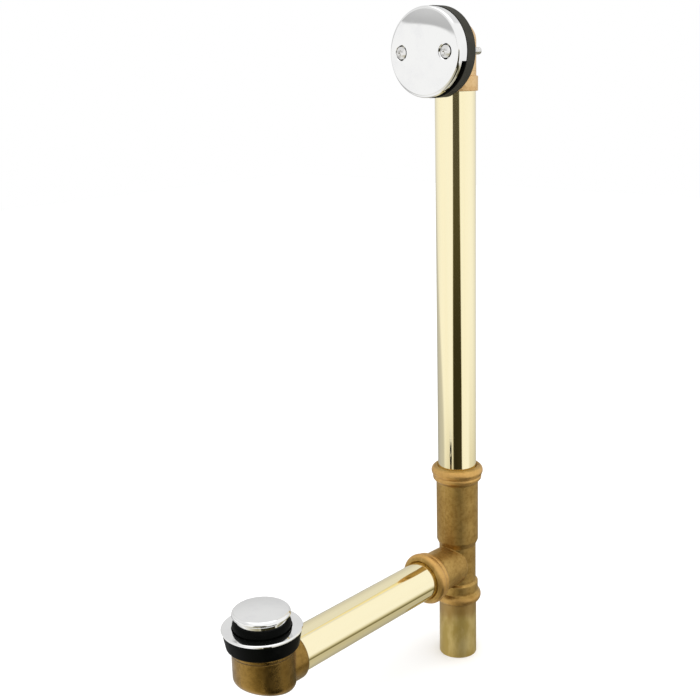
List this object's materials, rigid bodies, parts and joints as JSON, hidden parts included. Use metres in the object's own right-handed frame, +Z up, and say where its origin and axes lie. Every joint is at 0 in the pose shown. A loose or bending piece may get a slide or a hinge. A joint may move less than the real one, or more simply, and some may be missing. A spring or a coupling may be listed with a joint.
{
  "type": "bath waste and overflow",
  "caption": "Brass bath waste and overflow: strainer with toe-touch stopper, shoe, tubes, tee with tailpiece, and overflow elbow with a two-screw plate.",
  "frame": {"origin": "centre of the drain on the bath floor, at the underside of the strainer's flange", "axes": "+X from the drain to the tee, +Z up along the overflow tube, XZ is the plane of symmetry"},
  "size_m": [0.3347, 0.0804, 0.649],
  "materials": {
    "chrome": "polished",
    "screw_steel": "plated",
    "grey_rubber": "matt",
    "pale_cast_brass": "satin cast",
    "polished_brass": "polished",
    "cast_brass": "satin cast",
    "raw_brass": "raw",
    "black_rubber": "matt",
    "turned_brass": "turned",
    "spring_steel": "drawn wire"
  },
  "bodies": {
    "waste": {"overflow_faceplate": "chrome", "overflow_screws": "screw_steel", "overflow_gasket": "grey_rubber", "overflow_elbow": "pale_cast_brass", "overflow_tube": "polished_brass", "waste_tee": "cast_brass", "tailpiece": "raw_brass", "shoe_tube": "polished_brass", "drain_shoe": "cast_brass", "shoe_gasket": "black_rubber", "drain_strainer": "chrome", "latch_post": "turned_brass", "latch_collar": "turned_brass", "stopper_spring": "spring_steel"},
    "stopper": {"stopper_cap": "chrome", "stopper_seal": "black_rubber", "seal_retainer": "turned_brass", "stopper_sleeve": "turned_brass", "sleeve_bush": "turned_brass"}
  },
  "joints": [
    {"name": "stopper_lift", "type": "slide", "parent": "waste", "child": "stopper", "axis": [0, 0, 1], "range_m": [0, 0.0095], "deforming": ["stopper_spring"]}
  ]
}
